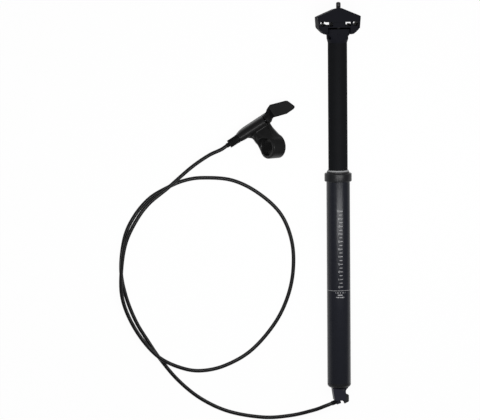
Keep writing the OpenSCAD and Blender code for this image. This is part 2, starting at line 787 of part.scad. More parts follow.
// Remote body: rounded arm with a fork for the lever, a bracket that sweeps into the ring, split ring with
// its lug
module remote_body() {
    shoulder = cheek_out - 1.2;
    color("#17181b") difference() {
        union() {
            at_remote() {
                intersection() {
                    rotate([90, 0, 0]) linear_extrude(2 * cheek_out, center = true) polygon(arm_outline);
                    rotate([90, 0, 90]) linear_extrude(4 * paddle_length, center = true)
                        polygon([[-cheek_out, block_low], [cheek_out, block_low], [cheek_out, lever_arm],
                        [shoulder, lever_arm + 3], [shoulder / 2, block_high - edge], [0, block_high],
                        [-shoulder / 2, block_high - edge], [-shoulder, lever_arm + 3],
                        [-cheek_out, lever_arm]]);
                    translate([0, 0, -block_high]) linear_extrude(3 * block_high)
                        polygon([[block_left, -arm_end_half], [block_left, arm_end_half],
                        [block_left + arm_taper, arm_half], [floor_right + past, arm_half],
                        [floor_right + past, -arm_half], [block_left + arm_taper, -arm_half]]);
                }
                translate([0, 0, bracket_low]) linear_extrude(bracket_high - bracket_low)
                    polygon(bracket_outline);
            }
            at_ring() cylinder(h = ring_w, r = ring_r, center = true);
            hull() {
                at_ring() cylinder(h = ring_w - 2, r = ring_r - edge / 2, center = true, $fn = 40);
                at_remote() translate([0, -past, 0])
                    bar_x(yoke_r, block_left + yoke_start, block_right - edge, $fn = 24);
            }
            at_lug() block([lug_x - lug_bolt_r - lug_wall, -lug_half, -lug_w / 2],
                [lug_x + lug_bolt_r, lug_half, lug_w / 2]);
        }
        at_ring() {
            cylinder(h = 4 * ring_w, r = bar_d / 2, center = true);
            for (m = [0, 1]) mirror([0, 0, m]) translate([0, 0, ring_w / 2])
                cylinder(h = 2 * ring_w, r = bar_d / 2 + past);
        }
        at_lug() {
            block([-2 * ring_r, -slit / 2, -ring_w], [0, slit / 2, ring_w]);
            translate([lug_x, 0, 0]) bar_y(lug_bolt_r + seated, -2 * lug_half, lug_half);
            translate([lug_x, 0, 0]) bar_y(lug_head_r + loose, -3 * lug_half, -lug_half);
        }
        at_remote() {
            block([block_right, -fork_half, fork_floor], [3 * cheek_r, fork_half, 2 * block_high]);
            bar_y(pivot_r + seated, -cheek_out + edge, 2 * cheek_out);
            bar_y(pivot_head_r + seated, cheek_out - pivot_head_h - seated, 2 * cheek_out);
            translate([0, 0, lever_arm]) bar_x(wire_r + loose, block_left - past, block_right + past);
            translate([0, 0, lever_arm]) bar_x(barrel_thread_r + seated, block_left - past,
                block_left + barrel_thread_length);
        }
    }
}

module ring_clamp_bolt() {
    color("#2b2d31") at_lug() translate([lug_x, 0, 0]) difference() {
        union() {
            bar_y(lug_bolt_r, -lug_half - past, lug_half - edge);
            bar_y(lug_head_r, -lug_half - lug_head_h, -lug_half - seated);
        }
        translate([0, -lug_half - lug_head_h * 0.4, 0]) rotate([90, 0, 0])
            cylinder(h = lug_head_h, r = lug_head_r * 0.55, $fn = 6);
    }
}

// Hood of the lever: it covers the fork and joins the horn to the paddle
module lever_hood() {
    intersection() {
        rotate([90, 0, 0]) linear_extrude(4 * cheek_out, center = true) polygon(hood_side);
        translate([0, 0, -cheek_r]) linear_extrude(3 * block_high) polygon(hood_plan);
        rotate([90, 0, 90]) linear_extrude(paddle_length, center = true) polygon(hood_section);
    }
}

// Thumb lever: hub on the pivot bolt, horn that pulls the wire, hood over the fork, paddle
module lever_paddle() {
    bore = pivot_r + bushing_t + running;
    tip = paddle_length;
    side = fork_half - loose;
    color("#17181b") at_remote() difference() {
        union() {
            translate([0, spring_side, 0]) rotate([90, 0, 0]) linear_extrude(side + spring_side - edge / 2) {
                circle(hub_r);
                translate([-horn_half * web, 0]) square([2 * horn_half * web, lever_arm]);
            }
            block([-horn_half, -side, hub_r + edge / 2], [horn_half, side, horn_top]);
            lever_hood();
            rotate([0, -paddle_rise, 0]) {
                block([bore + edge / 2, -side + edge, -paddle_t / 2], [paddle_start + 3, 0, paddle_t / 2]);
                block([hub_r + 0.4, -side + edge / 2, -paddle_t / 2 + edge / 4],
                    [paddle_start + 2, side - edge / 2, paddle_t / 2 - edge / 4]);
                translate([0, 0, -paddle_t / 2 - edge / 4]) linear_extrude(paddle_t)
                    polygon([[paddle_start, -2.9],
                    [paddle_start, 10.2], [13, 13.4], [tip - 6.4, 7.2], [tip - 4, 5.4], [tip, -5],
                    [tip - 0.6, -6.6],
                    [tip - 3, -7.6], [tip - 14, -8.2], [tip - 24.5, -5.3], [8.5, -3.2]]);
            }
        }
        bar_y(bore, -fork_half, fork_half);
        translate([0, 0, lever_arm]) bar_y(head_nipple_r + seated, -fork_half, fork_half);
    }
}

module lever_pivot_bolt() {
    color("#2b2d31") at_remote() difference() {
        union() {
            bar_y(pivot_r, -cheek_out + edge + seated, cheek_out - edge);
            bar_y(pivot_head_r, cheek_out - pivot_head_h, cheek_out);
        }
        translate([0, cheek_out - pivot_head_h * 0.6, 0]) rotate([-90, 0, 0])
            cylinder(h = pivot_head_h, r = pivot_r * 0.7, $fn = 6);
    }
}

module lever_bushing() {
    color("goldenrod") at_remote() sleeve_y(pivot_r + bushing_t, pivot_r + seated, -fork_half + seated,
        fork_half - seated);
}

spring_path = [for (i = [0 : spring_turns * spring_rings])
    let (a = 360 * i / spring_rings)
    [spring_r * cos(a), 0.55 + spring_pitch * i / spring_rings, spring_r * sin(a)]];

module return_spring() {
    color("silver") at_remote() swept_tube(spring_path, spring_wire_r, spring_sides, [0, 1, 0]);
}

module barrel_adjuster() {
    knurls = 18;
    color("#17181b") at_remote() translate([0, 0, lever_arm]) difference() {
        union() {
            bar_x(barrel_r, barrel_left, barrel_right);
            bar_x(barrel_thread_r, barrel_right - past, block_left + barrel_thread_length - past);
        }
        bar_x(wire_r + loose, barrel_left - past, block_left + barrel_thread_length);
        bar_x(ferrule_r + seated, barrel_left - past, ferrule_right + seated);
        for (i = [0 : knurls - 1]) rotate([360 / knurls * i, 0, 0]) translate([0, 0, barrel_r + 0.3])
            bar_x(0.7, barrel_left + 2, barrel_right - 2);
    }
}

module adjuster_lock_nut() {
    color("#2b2d31") at_remote() translate([0, 0, lever_arm]) difference() {
        bar_x(barrel_r + 0.3, barrel_right + seated, block_left - seated);
        bar_x(barrel_thread_r + seated, barrel_right - past, block_left + past);
    }
}

cable_path = smooth_path(route, cable_steps);
echo(cable_length = path_length(cable_path), cable_gap = path_gap(smooth_path(route, 8), cable_r, 40));
echo(spring_gap = path_gap(spring_path, spring_wire_r, 5));

module cable_housing() {
    color("#0b0b0c") swept_tube(cable_path, cable_r, cable_sides, [0, 0, 1]);
}

outer_tube();
tube_collar();
wiper_seal();
upper_bushing();
stanchion();
post_head();
lower_bushing();
anti_rotation_keys();
cartridge_cylinder();
cartridge_gland();
piston_rod();
piston_head();
release_pin();
bottom_plug();
rod_jam_nut();
actuator_housing();
actuator_crank();
crank_pivot_pin();
wire_anchor_nut();
anchor_set_screw();
post_ferrule();
lower_cradle();
upper_clamp();
clamp_studs();
clamp_nuts();
nut_washers();
barrel_nuts();
remote_body();
ring_clamp_bolt();
lever_paddle();
lever_pivot_bolt();
lever_bushing();
return_spring();
barrel_adjuster();
adjuster_lock_nut();
remote_ferrule();
wire_head();
wire_end_remote();
wire_end_post();
cable_housing();
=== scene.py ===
# %% [markdown]
# # A dropper seatpost with its cable and remote
# A dropper post is a seatpost that slides: a thumb lever on the handlebar pulls a wire, the wire opens a
# valve at the foot of the post, and the saddle goes down or comes up. The solids come from the CAD model.
# This script gives them finishes and soft edges, rounds three of them like castings, lays the cable as one
# smooth curve, prints the scale on the tube and sets up a plain studio seen from the photograph's side.

# %% Load the frame
import json
import math

import bmesh
import bpy
from mathutils import Matrix, Vector


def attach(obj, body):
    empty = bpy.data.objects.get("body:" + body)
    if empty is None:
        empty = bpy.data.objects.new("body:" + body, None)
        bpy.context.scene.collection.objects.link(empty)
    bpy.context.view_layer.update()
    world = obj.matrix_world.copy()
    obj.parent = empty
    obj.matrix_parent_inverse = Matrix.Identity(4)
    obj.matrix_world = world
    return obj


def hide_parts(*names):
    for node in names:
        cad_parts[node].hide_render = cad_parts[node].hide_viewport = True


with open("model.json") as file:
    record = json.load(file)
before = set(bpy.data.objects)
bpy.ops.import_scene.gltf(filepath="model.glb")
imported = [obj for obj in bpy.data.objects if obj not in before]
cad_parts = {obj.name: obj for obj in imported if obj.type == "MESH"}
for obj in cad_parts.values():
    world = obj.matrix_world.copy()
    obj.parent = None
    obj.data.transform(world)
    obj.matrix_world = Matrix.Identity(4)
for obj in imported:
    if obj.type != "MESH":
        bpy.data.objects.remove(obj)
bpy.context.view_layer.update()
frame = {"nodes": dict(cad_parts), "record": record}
nodes = frame["nodes"]
MM = 0.001

# %% [markdown]
# ## The camera
# The post lies on a table and is photographed from above with a long lens, a little from its left and from
# its head. A camera far away with a narrow view gives the same nearly parallel lines. Its axes are written
# down directly, because a look-at constraint would turn the picture when the view is close to vertical.

# %% Camera at the photograph's angle
IMAGE_WIDTH_PX = 480
MM_PER_PX = 1.312
LEAN_LEFT = math.radians(9.0)
LEAN_HEAD = math.radians(6.0)
ROLL = math.radians(-0.384)
CAMERA_DISTANCE = 10.0
SENSOR_WIDTH = 36.0
AIM = Vector((-130.8, -35.0, 0.0)) * MM

right = Vector((math.cos(LEAN_LEFT), 0, math.sin(LEAN_LEFT)))
toward = Vector((-math.sin(LEAN_LEFT) * math.cos(LEAN_HEAD), math.sin(LEAN_HEAD),
    math.cos(LEAN_LEFT) * math.cos(LEAN_HEAD)))
up = toward.cross(right)
turned_right = right * math.cos(ROLL) + up * math.sin(ROLL)
turned_up = up * math.cos(ROLL) - right * math.sin(ROLL)
camera_data = bpy.data.cameras.new("camera")
camera = bpy.data.objects.new("camera", camera_data)
bpy.context.scene.collection.objects.link(camera)
axes = Matrix((turned_right, turned_up, toward)).transposed().to_4x4()
camera.matrix_world = Matrix.Translation(AIM + toward * CAMERA_DISTANCE) @ axes
camera_data.sensor_width = SENSOR_WIDTH
camera_data.lens = SENSOR_WIDTH * CAMERA_DISTANCE / (IMAGE_WIDTH_PX * MM_PER_PX * MM)
bpy.context.scene.camera = camera
print("lens", round(camera_data.lens, 1), "mm")

# %% [markdown]
# ## The cable
# A 5 mm brake-style outer cable, stiff enough to lie in wide loops. It leaves the barrel of the remote,
# makes one loop on the table and goes into the ferrule at the foot of the post. The points are those of the
# CAD route, in millimetres. The first and the last three lie on a straight line, because both ferrules hold
# the cable straight.

# %% Route of the cable
CABLE_RADIUS = 2.5
CROSSING_GAP = 0.6
TABLE_Z = -17.9
LOW = TABLE_Z + CABLE_RADIUS
HIGH = LOW + 2 * CABLE_RADIUS + CROSSING_GAP
REMOTE_TURN = math.radians(32)
WIRE_ANGLE = math.radians(20)
REMOTE_WIRE = Vector((-93.2, 83.8, -1.5))
CRANK_X, CRANK_Y, CRANK_ARM = 4.6, -276.0, 12.0
REMOTE_END, FOOT_END, END_STEP = 55.64, 11.3, 9.0
FIRST_PASS = [(-172, 37, -4), (-195, 21, -7), (-225, -5, HIGH), (-250, -25, HIGH), (-267, -47, HIGH),
    (-281, -76, HIGH), (-287, -110, HIGH), (-287, -145, HIGH), (-277, -176, HIGH), (-259, -206, HIGH),
    (-237, -229, HIGH)]
LOOP = [(-209, -243, HIGH - 3), (-182, -248, LOW), (-150, -242, LOW), (-115, -223, LOW), (-84, -189, LOW),
    (-66, -154, LOW), (-58, -117, LOW), (-60, -78, LOW), (-75, -42, LOW), (-105, -14, LOW), (-139, 3, LOW),
    (-177, 7, LOW), (-202, 4, LOW)]
SECOND_PASS = [(-225, -5, LOW), (-249, -19, LOW), (-269, -42, LOW), (-282, -70, LOW), (-287, -111, LOW),
    (-281, -146, LOW), (-268, -180, LOW), (-252, -207, LOW), (-236, -231, LOW), (-212, -260, LOW),
    (-182, -285, LOW), (-145, -303, LOW), (-99, -312, LOW), (-63, -310, -11), (-34, -303, -4)]

remote_direction = Vector((math.cos(REMOTE_TURN), math.sin(REMOTE_TURN), 0))
foot_direction = Vector((-math.cos(WIRE_ANGLE), -math.sin(WIRE_ANGLE), 0))
wire_anchor = Vector((CRANK_X + CRANK_ARM * math.sin(WIRE_ANGLE),
    CRANK_Y - CRANK_ARM * math.cos(WIRE_ANGLE), 0.0))
route = [REMOTE_WIRE - (REMOTE_END + END_STEP * k) * remote_direction for k in (0, 1, 2)]
route += [Vector(point) for point in FIRST_PASS + LOOP + SECOND_PASS]
route += [wire_anchor + (FOOT_END + END_STEP * k) * foot_direction for k in (2, 1, 0)]
print("route of", len(route), "points")

# %% [markdown]
# A Bezier spline takes the same tangents as a Catmull-Rom curve when each handle is a sixth of the step
# between a point's neighbours. The curve then passes through every point without a kink. A round bevel
# gives it its thickness, with the cable's radius on each point.

# %% Curve through the route
STEPS_BETWEEN_POINTS = 16
STEPS_ROUND = 8
HANDLE_PARTS = 6
cable_curve = bpy.data.curves.new("cable", "CURVE")
cable_curve.dimensions = "3D"
cable_curve.resolution_u = STEPS_BETWEEN_POINTS
cable_curve.bevel_depth = 1.0
cable_curve.bevel_resolution = STEPS_ROUND
cable_curve.use_fill_caps = True
spline = cable_curve.splines.new("BEZIER")
spline.bezier_points.add(len(route) - 1)
for i, point in enumerate(route):
    before = route[max(i - 1, 0)]
    after = route[min(i + 1, len(route) - 1)]
    handle = (after - before) / HANDLE_PARTS
    knot = spline.bezier_points[i]
    knot.handle_left_type = knot.handle_right_type = "FREE"
    knot.co = point * MM
    knot.radius = CABLE_RADIUS * MM
    knot.handle_left = (point - handle) * MM
    knot.handle_right = (point + handle) * MM
cable = bpy.data.objects.new("cable", cable_curve)
bpy.context.scene.collection.objects.link(cable)
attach(cable, "outer_post")
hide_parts("cable_housing")

# %% [markdown]
# ## Shader sockets as values
# A finish is a small sum: a roughness plus a bit of noise, a height minus a start. Math nodes can do this,
# but a page of node calls hides the sum. So one class wraps an output socket and lets Python's operators
# add the Math nodes, and a second one makes every other node of a material.


# %% A wrapper for shader sockets
class Value:
    """An output socket of a shader node. Sums, differences, products and quotients of it add Math nodes."""

    def __init__(self, socket):
        self.socket = socket

    def calculate(self, operation, first, second):
        node = self.socket.id_data.nodes.new("ShaderNodeMath")
        node.operation = operation
        for slot, value in zip(node.inputs, (first, second)):
            connect(slot, value)
        return Value(node.outputs[0])

    def __add__(self, other):
        return self.calculate("ADD", self, other)

    def __radd__(self, other):
        return self.calculate("ADD", other, self)

    def __sub__(self, other):
        return self.calculate("SUBTRACT", self, other)

    def __rsub__(self, other):
        return self.calculate("SUBTRACT", other, self)

    def __mul__(self, other):
        return self.calculate("MULTIPLY", self, other)

    def __rmul__(self, other):
        return self.calculate("MULTIPLY", other, self)

    def __truediv__(self, other):
        return self.calculate("DIVIDE", self, other)

    def __rtruediv__(self, other):
        return self.calculate("DIVIDE", other, self)


def connect(slot, value):
    """Link a Value to an input socket, or set a number, a vector or a colour on it."""
    if isinstance(value, Value):
        slot.id_data.links.new(value.socket, slot)
    elif slot.type == "RGBA":
        slot.default_value = (*value, 1.0)
    else:
        slot.default_value = value


print("sockets can be added, subtracted, multiplied and divided")

# %% A node tree that grows one node at a time
# The Mix node keeps its colour sockets behind those for numbers and vectors.
MIX_FACTOR, MIX_FIRST, MIX_SECOND = 0, 6, 7
MIXED_COLOUR = 2


class Finish:
    """The nodes of a material or of the world."""

    def __init__(self, owner):
        owner.use_nodes = True
        self.owner = owner
        self.tree = owner.node_tree
        self.tree.nodes.clear()

    def node(self, kind, settings=None, sockets=None, output=0):
        made = self.tree.nodes.new("ShaderNode" + kind)
        for name, value in (settings or {}).items():
            setattr(made, name, value)
        for name, value in (sockets or {}).items():
            connect(made.inputs[name], value)
        return Value(made.outputs[output]) if made.outputs else None

    def mix(self, factor, first, second):
        colours = {MIX_FACTOR: factor, MIX_FIRST: first, MIX_SECOND: second}
        return self.node("Mix", {"data_type": "RGBA"}, colours, output=MIXED_COLOUR)


print("colours can be mixed")

# %% [markdown]
# ## Table and light
# The photograph has a white sweep behind the part and soft light from above. The floor shows white to the
# camera and in reflections, and is a plain pale surface to every other ray, so it still throws soft light
# upwards.

# %% White table
FLOOR_SIDE = 8.0
FLOOR_DROP = 0.0004
PALE = (0.86, 0.86, 0.86)
WHITE = (1.0, 1.0, 1.0)
SHOWN_WHITE = 0.97
half = FLOOR_SIDE / 2
floor_z = TABLE_Z * MM - FLOOR_DROP
floor_corners = [(x, y, floor_z) for x, y in ((-half, -half), (half, -half), (half, half), (-half, half))]
floor_mesh = bpy.data.meshes.new("floor")
floor_mesh.from_pydata(floor_corners, [], [(0, 1, 2, 3)])
floor = bpy.data.objects.new("floor", floor_mesh)
bpy.context.scene.collection.objects.link(floor)

table = Finish(bpy.data.materials.new("white_table"))
SEEN_RAYS = ("Is Camera Ray", "Is Glossy Ray", "Is Transmission Ray")
camera_ray, glossy_ray, clear_ray = (table.node("LightPath", output=kind) for kind in SEEN_RAYS)
table_surface = table.node("MixShader", None, {
    0: (camera_ray + glossy_ray + clear_ray) * SHOWN_WHITE,
    1: table.node("BsdfDiffuse", None, {"Color": PALE}),
    2: table.node("Emission", None, {"Color": WHITE, "Strength": 1.0})})
table.node("OutputMaterial", None, {"Surface": table_surface})
floor_mesh.materials.append(table.owner)
print("floor at", round(floor_z, 4), "m")

# %% [markdown]
# A strip of light across the post, right above the collar, draws the short pale streak there, because the
# reflection fades where the tube runs away from it. A wide weak fill on the left and an even world do the
# rest.

# %% World and softboxes
WORLD_LEVEL = 0.3
world = bpy.data.worlds.new("studio")
bpy.context.scene.world = world
sky = Finish(world)
sky_seen = sky.node("LightPath", output="Is Camera Ray")
sky_level = WORLD_LEVEL + sky_seen * (1 - WORLD_LEVEL)
background = sky.node("Background", None, {"Color": WHITE, "Strength": sky_level})
sky.node("OutputWorld", None, {"Surface": background})


def softbox(name, place, aim, width, height, watts):
    lamp = bpy.data.lights.new(name, "AREA")
    lamp.shape = "RECTANGLE"
    lamp.size = width
    lamp.size_y = height
    lamp.energy = watts
    holder = bpy.data.objects.new(name, lamp)
    holder.location = place
    holder.rotation_euler = (Vector(aim) - Vector(place)).to_track_quat("-Z", "Y").to_euler()
    holder.visible_camera = False
    bpy.context.scene.collection.objects.link(holder)


softbox("key", place=(0.0, 0.0, 0.60), aim=(0.0, 0.0, 0.0), width=0.62, height=0.12, watts=3.5)
softbox("fill", place=(-1.4, 0.5, 1.8), aim=(-0.1, -0.05, 0.0), width=1.2, height=1.6, watts=3)
bpy.context.scene.view_settings.view_transform = "Standard"
print("key and fill are on")

# %% [markdown]
# ## Finishes
# Nearly everything is black, so the pieces are told apart by gloss and texture: satin anodising with fine
# drawing lines on the outer tube, a dull hard coat on the inner tube, forged and cast grain on the head and
# the remote, turned steel inside. Each finish comes from one procedural recipe: a base colour with slow
# cloudy changes, a roughness that wanders a little, and a fine bump. Stretching the grain makes it look
# drawn along a tube or turned round it.

# %% Recipe for the finishes
CLOUD_SCALE, CLOUD_DETAIL, GRAIN_DETAIL = 90.0, 3.0, 2.0
NOISE_MIDDLE = 0.5
BUMP_DEPTH = 0.2 * MM
EVEN = (1, 1, 1)
ALONG = (1, 0.03, 1)
ROUND = (0.05, 1, 0.05)


def finish(name, colour, second, roughness, metallic=0.0, grain=900, stretch=EVEN, wander=0.08, bump=0.05,
        specular=0.5):
    made = Finish(bpy.data.materials.new(name))
    place = made.node("TexCoord", output="Object")
    drawn = made.node("Mapping", None, {"Vector": place, "Scale": stretch})
    clouds = made.node("TexNoise", None, {"Vector": place, "Scale": CLOUD_SCALE, "Detail": CLOUD_DETAIL})
    grains = made.node("TexNoise", None, {"Vector": drawn, "Scale": grain, "Detail": GRAIN_DETAIL})
    relief = made.node("Bump", None, {"Strength": bump, "Distance": BUMP_DEPTH, "Height": grains})
    surface = made.node("BsdfPrincipled", None, {
        "Base Color": made.mix(clouds, colour, second),
        "Roughness": roughness + (clouds - NOISE_MIDDLE) * wander + (grains - NOISE_MIDDLE) * wander,
        "Metallic": metallic, "Specular IOR Level": specular, "Normal": relief})
    made.node("OutputMaterial", None, {"Surface": surface})
    return made.owner


print("one recipe, with grain of its own for each finish")

# %% [markdown]
# The black finishes differ by a few thousandths in colour and mostly in gloss. A low specular level keeps
# forged and cast pieces dull. The metals inside are only seen in the gaps, but a reader may take the part
# apart.

# %% One finish for each material slot, and one for the ribs, made paler as painted light
FINISHES = {
    "tube_anodised": dict(colour=(0.0086, 0.0094, 0.0138), second=(0.0112, 0.0122, 0.0172), roughness=0.28,
        stretch=ALONG, grain=2600, bump=0.04, specular=0.19),
    "collar_black": dict(colour=(0.0080, 0.0084, 0.0098), second=(0.0110, 0.0115, 0.0130), roughness=0.36,
        stretch=ROUND, grain=2400, specular=0.19),
    "stanchion_black": dict(colour=(0.0076, 0.0079, 0.0088), second=(0.0092, 0.0096, 0.0107), roughness=0.45,
        stretch=ROUND, grain=3000, bump=0.02, wander=0.04, specular=0.01),
    "forged_black": dict(colour=(0.0052, 0.0054, 0.0082), second=(0.0078, 0.0081, 0.0114), roughness=0.66,
        grain=1700, bump=0.10, specular=0.06),
    # The ribs' paler colour and higher gloss are painted light, which makes the flanks look lit from the
    # side.
    "ribs_painted_lit": dict(colour=(0.020, 0.0205, 0.022), second=(0.034, 0.0345, 0.037), roughness=0.50,
        grain=1700, bump=0.08, specular=0.3),
    "bushing_polymer": dict(colour=(0.40, 0.35, 0.24), second=(0.48, 0.43, 0.31), roughness=0.5, grain=1400),
    "brass": dict(colour=(0.66, 0.47, 0.19), second=(0.76, 0.56, 0.26), roughness=0.28, metallic=1.0,
        stretch=ROUND, grain=2500),
    "bright_steel": dict(colour=(0.55, 0.55, 0.56), second=(0.66, 0.66, 0.67), roughness=0.26, metallic=1.0,
        stretch=ROUND, grain=2500),
    "cartridge_alloy": dict(colour=(0.55, 0.55, 0.57), second=(0.63, 0.63, 0.65), roughness=0.32,
        metallic=1.0, stretch=ROUND, grain=2500),
    "crank_alloy": dict(colour=(0.0210, 0.0218, 0.0226), second=(0.0290, 0.0298, 0.0306), roughness=0.45,
        grain=2000, specular=0.15),
    "black_steel": dict(colour=(0.0100, 0.0102, 0.0112), second=(0.0150, 0.0152, 0.0165), roughness=0.34,
        stretch=ROUND, grain=2200, specular=0.4),
    "actuator_black": dict(colour=(0.0140, 0.0142, 0.0222), second=(0.0180, 0.0182, 0.0272), roughness=0.42,
        grain=1900, specular=0.12),
    "remote_black": dict(colour=(0.0050, 0.0050, 0.0052), second=(0.0076, 0.0076, 0.0078), roughness=0.38,
        grain=1600, bump=0.10, specular=0.18),
    "lever_black": dict(colour=(0.0042, 0.0042, 0.0044), second=(0.0064, 0.0064, 0.0066), roughness=0.55,
        grain=1500, bump=0.12, specular=0.08),
    "adjuster_black": dict(colour=(0.0040, 0.0040, 0.0042), second=(0.0060, 0.0060, 0.0062), roughness=0.50,
        grain=2200, specular=0.05),
    "cable_black": dict(colour=(0.0022, 0.0022, 0.0025), second=(0.0034, 0.0034, 0.0038), roughness=0.32,
        bump=0.004, wander=0.02, specular=0.2),
}
materials = {name: finish(name, **values) for name, values in FINISHES.items()}
print(len(materials), "finishes from the recipe")

# %% [markdown]
# The wiper seal is a black rubber ring whose thin upper lip has worn to grey. One finish does both: its
# colour changes with the height along the post, over half a millimetre.

# %% Seal with a grey lip
LIP_FROM, LIP_BLEND = 13.0 * MM, 0.5 * MM
DUST_SCALE, DUST_DETAIL, DUST_BUMP = 700.0, 3.0, 0.1
RUBBER_ROUGHNESS, RUBBER_WANDER, RUBBER_SPECULAR = 0.55, 0.1, 0.3
seal = Finish(bpy.data.materials.new("seal_rubber"))
seal_place = seal.node("TexCoord", output="Object")
height = seal.node("SeparateXYZ", None, {"Vector": seal_place}, output="Y")
lip = seal.node("Clamp", None, {"Value": (height - LIP_FROM) / LIP_BLEND})
dust = seal.node("TexNoise", None, {"Vector": seal_place, "Scale": DUST_SCALE, "Detail": DUST_DETAIL})
black_rubber = seal.mix(dust, (0.010, 0.010, 0.011), (0.018, 0.018, 0.019))
grey_rubber = seal.mix(dust, (0.24, 0.245, 0.25), (0.32, 0.325, 0.33))
seal_surface = seal.node("BsdfPrincipled", None, {
    "Base Color": seal.mix(lip, black_rubber, grey_rubber),
    "Roughness": RUBBER_ROUGHNESS + (dust - NOISE_MIDDLE) * RUBBER_WANDER,
    "Specular IOR Level": RUBBER_SPECULAR,
    "Normal": seal.node("Bump", None, {"Strength": DUST_BUMP, "Distance": BUMP_DEPTH, "Height": dust})})
seal.node("OutputMaterial", None, {"Surface": seal_surface})
materials["seal_rubber"] = seal.owner
print("grey lip from", LIP_FROM, "m up")

# %% [markdown]
# The record of the part gives every solid a material slot, and the finishes have the same names. So the
# finishes are handed out by a loop over the record, and not piece by piece.

# %% Finishes on the pieces
slots = {part["node"]: part["material_slot"] for part in frame["record"]["subparts"]}
for name, piece in nodes.items():
    piece.data.materials.clear()
    piece.data.materials.append(materials[slots[name]])
cable_curve.materials.append(materials["cable_black"])
print(len(set(slots.values())), "finishes on", len(slots), "nodes")

# %% [markdown]
# ## Soft edges
# Real castings and turned parts have no knife edges: a small radius catches a line of light, and that is
# much of what tells black pieces apart. A bevel modifier rounds each piece's sharp edges without touching
# the CAD mesh. The weld before it joins the corners that the mesh holds once for each face.

# %% Bevels on the CAD pieces
SHARP = math.radians(28)
WELD_DISTANCE = 1e-6
BEVEL_STEPS = 3
EDGE_RADII = {"upper_clamp": 0.9, "lower_cradle": 0.8, "post_head": 0.5, "actuator_housing": 0.6,
    "tube_collar": 0.3, "barrel_adjuster": 0.25, "outer_tube": 0.15}
for name, radius in EDGE_RADII.items():
    weld = nodes[name].modifiers.new("weld", "WELD")
    weld.merge_threshold = WELD_DISTANCE
    bevel = nodes[name].modifiers.new("soft_edges", "BEVEL")
    bevel.width = radius * MM
    bevel.segments = BEVEL_STEPS
    bevel.limit_method = "ANGLE"
    bevel.angle_limit = SHARP
    bevel.harden_normals = True
print("soft edges on", len(EDGE_RADII), "pieces")

# %% [markdown]
# ## Ribbed flanks of the saddle clamp
# The flanks of the clamp have upright ribs, which stiffen the forging and give a grip while the saddle is
# set. Each rib is swept along the leaning flank from a five-point section, rises from nothing at both ends,
# and has its root sunk in the clamp, so no gap shows. The ribs get a paler finish, which is painted light:
# it makes the flanks look lit from the side.

# %% Sweep of one rib
RAIL_Y = 209.0
FLANK_FOOT_X, FLANK_FOOT_Y = 27.1, RAIL_Y - 6.4
FLANK_TOP_X, FLANK_TOP_Y = 28.6, RAIL_Y + 9.2
FLANK_LEAN = (FLANK_TOP_X - FLANK_FOOT_X) / (FLANK_TOP_Y - FLANK_FOOT_Y)
RIB_FROM, RIB_TO, RIB_STEPS = RAIL_Y - 5.4, RAIL_Y + 8.0, 12
RIB_HEIGHT, RIB_ROOT, RIB_HALF = 0.7, 0.4, 0.95
RIB_SHOULDER, RIB_ONSET = 0.8, 0.4
rib_mesh = bmesh.new()


def rib_section(rise):
    shoulder = rise * RIB_SHOULDER
    return ((-RIB_ROOT, -RIB_HALF), (shoulder, -RIB_HALF / 2), (rise, 0.0), (shoulder, RIB_HALF / 2),
        (-RIB_ROOT, RIB_HALF))


def rib(side, z):
    rings = []
    for i in range(RIB_STEPS + 1):
        share = i / RIB_STEPS
        y = RIB_FROM + (RIB_TO - RIB_FROM) * share
        face = FLANK_FOOT_X + FLANK_LEAN * (y - FLANK_FOOT_Y)
        section = rib_section(RIB_HEIGHT * math.sin(math.pi * share) ** RIB_ONSET)
        corners = [(side * (face + out) * MM, y * MM, (z + across) * MM) for out, across in section]
        rings.append([rib_mesh.verts.new(corner) for corner in corners])
    for low, high in zip(rings, rings[1:]):
        for k in range(len(low)):
            after = (k + 1) % len(low)
            rib_mesh.faces.new((low[k], low[after], high[after], high[k]))
    rib_mesh.faces.new(rings[0][::-1])
    rib_mesh.faces.new(rings[-1])


print("ribs of", round(RIB_TO - RIB_FROM, 1), "mm")

# %% Ribs on both flanks
RIB_PLACES = (-6.0, -1.6, 2.8, 7.2, 11.6)
for side in (-1, 1):
    for z in RIB_PLACES:
        rib(side, z)
bmesh.ops.recalc_face_normals(rib_mesh, faces=rib_mesh.faces)
flank_mesh = bpy.data.meshes.new("clamp_ribs")
rib_mesh.to_mesh(flank_mesh)
rib_mesh.free()
flank_mesh.materials.append(materials["ribs_painted_lit"])
clamp_ribs = bpy.data.objects.new("clamp_ribs", flank_mesh)
bpy.context.scene.collection.objects.link(clamp_ribs)
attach(clamp_ribs, "saddle_clamp")
print("ribs with", len(flank_mesh.polygons), "faces")

# %% [markdown]
# ## Castings and a forging
# The remote's body and the thumb lever are cast and tumbled, so every corner flows into the next. The CAD
# solids have the right shape with hard corners. A copy of each is rebuilt from small cells and smoothed a
# few times, which melts the corners like a fillet, and the copy stands in for the solid.

# %% Smooth castings over the CAD solids
MELT_SHARE = 0.5
KEPT_FACES = 0.35


def casting(node, name, body, cell, rounds, blank=None):
    cast = bpy.data.objects.new(name, blank or nodes[node].data.copy())
    bpy.context.scene.collection.objects.link(cast)
    cells = cast.modifiers.new("cells", "REMESH")
    cells.mode = "VOXEL"
    cells.voxel_size = cell * MM
    melt = cast.modifiers.new("melt", "SMOOTH")
    melt.factor = MELT_SHARE
    melt.iterations = rounds
    thin = cast.modifiers.new("thin", "DECIMATE")
    thin.ratio = KEPT_FACES
    made = bpy.data.meshes.new_from_object(cast.evaluated_get(bpy.context.evaluated_depsgraph_get()))
    cast.modifiers.clear()
    cast.data = made
    made.materials.clear()
    made.materials.append(materials[slots[node]])
    made.shade_smooth()
    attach(cast, body)
    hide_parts(node)
    print(name, len(made.polygons), "faces")


casting("remote_body", "remote_casting", "outer_post", cell=0.55, rounds=36)
casting("lever_paddle", "lever_casting", "thumb_lever", cell=0.55, rounds=6)

